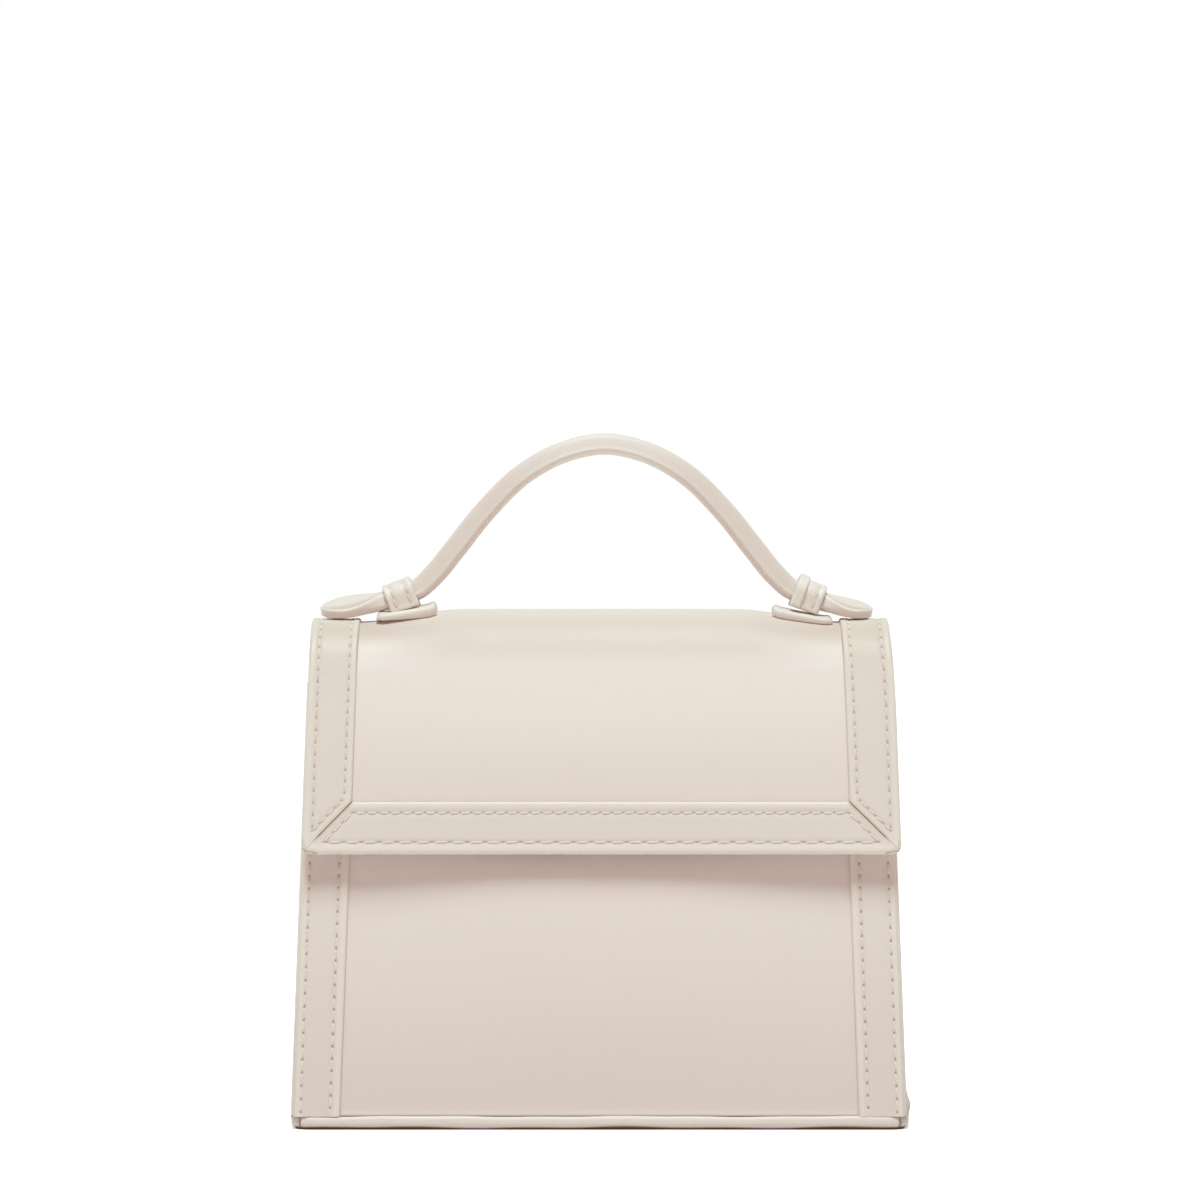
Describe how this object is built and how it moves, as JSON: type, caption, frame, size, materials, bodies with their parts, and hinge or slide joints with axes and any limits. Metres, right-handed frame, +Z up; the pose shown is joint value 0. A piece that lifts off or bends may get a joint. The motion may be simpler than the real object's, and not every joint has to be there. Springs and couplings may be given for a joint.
{
  "type": "top-handle flap bag",
  "caption": "Small structured leather handbag: hollow body narrowing to its mouth, banded flap with mitred corners over the front, rolled top handle held by strap loops.",
  "frame": {"origin": "middle of the footprint, on the surface that the bag stands on", "axes": "+Z up, the front with the flap's edge towards -Y, +X to the right as seen from the front"},
  "size_m": [0.2058, 0.0832, 0.2271],
  "materials": {
    "panel_leather": "smooth satin, pale pinkish cream",
    "trim_leather": "smooth satin, pale pinkish cream, turned and stitched edges",
    "side_leather": "smooth satin, pale pinkish cream",
    "thread": "waxed sewing thread, tone on tone",
    "snap_metal": "satin nickel"
  },
  "bodies": {
    "root": {"front_panel": "panel_leather", "back_panel": "panel_leather", "base_panel": "side_leather", "base_welt": "trim_leather", "gusset_left": "side_leather", "gusset_right": "side_leather", "front_band_left": "trim_leather", "front_band_right": "trim_leather", "flap_panel": "panel_leather", "flap_band_front": "trim_leather", "flap_band_left": "trim_leather", "flap_band_right": "trim_leather", "flap_snap": "snap_metal", "handle": "trim_leather", "handle_loop_left": "trim_leather", "handle_loop_right": "trim_leather", "handle_tab_left": "trim_leather", "handle_tab_right": "trim_leather"}
  },
  "joints": []
}
